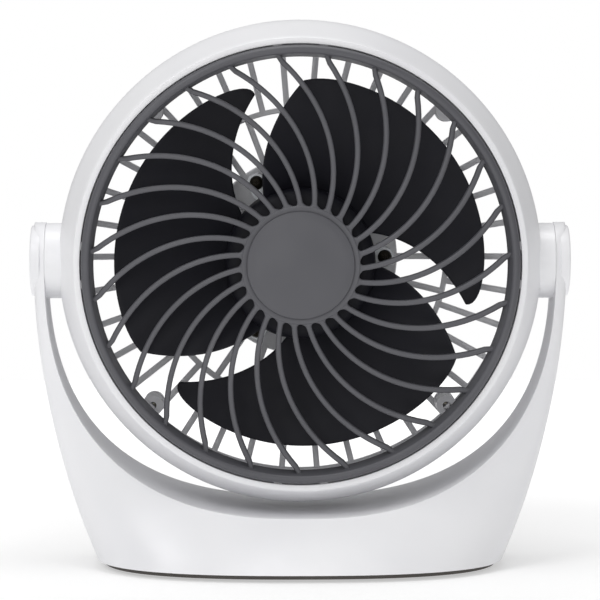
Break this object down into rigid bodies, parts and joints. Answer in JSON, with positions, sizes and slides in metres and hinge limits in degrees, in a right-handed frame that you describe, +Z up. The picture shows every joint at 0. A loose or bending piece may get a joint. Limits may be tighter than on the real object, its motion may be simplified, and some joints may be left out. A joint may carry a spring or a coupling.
{
  "type": "desk fan",
  "caption": "Round tilting fan head with swirl grille and three-blade impeller, held between the arms of a U-shaped base.",
  "frame": {"origin": "on the resting surface, under the middle of the base", "axes": "+Z up, the air leaves towards -Y, +X to the right seen from the front"},
  "size_m": [0.2094, 0.1, 0.2127],
  "materials": {
    "abs_white": "moulded, fine satin",
    "abs_grey": "moulded, fine spark texture",
    "abs_blue_black": "moulded, satin",
    "plastic_dark": "moulded, matt",
    "rubber_black": "matt",
    "steel_zinc": "zinc plated",
    "brass_turned": "turned",
    "copper_winding": "enamelled winding",
    "board_green": "solder mask"
  },
  "bodies": {
    "base": {"base_shell": "abs_white", "bottom_plate": "plastic_dark", "ballast_plate": "steel_zinc", "foot_front_left": "rubber_black", "foot_front_right": "rubber_black", "foot_rear_left": "rubber_black", "foot_rear_right": "rubber_black", "base_screw_front_left": "steel_zinc", "base_screw_front_right": "steel_zinc", "base_screw_rear_left": "steel_zinc", "base_screw_rear_right": "steel_zinc", "ballast_screw_left": "steel_zinc", "ballast_screw_right": "steel_zinc", "pivot_cap_left": "abs_white", "pivot_cap_right": "abs_white"},
    "head": {"drum": "abs_white", "front_grille": "abs_grey", "centre_cap": "abs_grey", "rear_grille": "abs_white", "rear_grille_screw_1": "steel_zinc", "rear_grille_screw_2": "steel_zinc", "rear_grille_screw_3": "steel_zinc", "rear_grille_screw_4": "steel_zinc", "motor_case": "steel_zinc", "motor_mount": "steel_zinc", "front_bush": "brass_turned", "rear_bush": "brass_turned", "stator_winding": "copper_winding", "motor_screw_1": "steel_zinc", "motor_screw_2": "steel_zinc", "motor_screw_3": "steel_zinc", "rear_housing": "abs_white", "housing_screw_left": "steel_zinc", "housing_screw_right": "steel_zinc", "speed_switch": "plastic_dark", "power_socket": "steel_zinc", "socket_board": "board_green", "friction_washer_left": "rubber_black", "friction_washer_right": "rubber_black", "pivot_insert_left": "brass_turned", "pivot_insert_right": "brass_turned", "pivot_bolt_left": "steel_zinc", "pivot_bolt_right": "steel_zinc"},
    "impeller": {"impeller": "abs_blue_black", "motor_shaft": "steel_zinc", "hub_nut": "steel_zinc", "rotor": "plastic_dark"},
    "knob": {"speed_knob": "abs_grey", "switch_spindle": "steel_zinc"}
  },
  "joints": [
    {"name": "head_tilt", "type": "hinge", "parent": "base", "child": "head", "pos_m": [0, 0, 0.119], "axis": [-1, 0, 0], "range_deg": [-20, 90]},
    {"name": "impeller_spin", "type": "hinge", "parent": "head", "child": "impeller", "pos_m": [0, 0, 0.119], "axis": [0, 1, 0], "continuous": true},
    {"name": "speed_knob_turn", "type": "hinge", "parent": "head", "child": "knob", "pos_m": [0, 0.0463, 0.119], "axis": [0, -1, 0], "range_deg": [0, 135]}
  ]
}
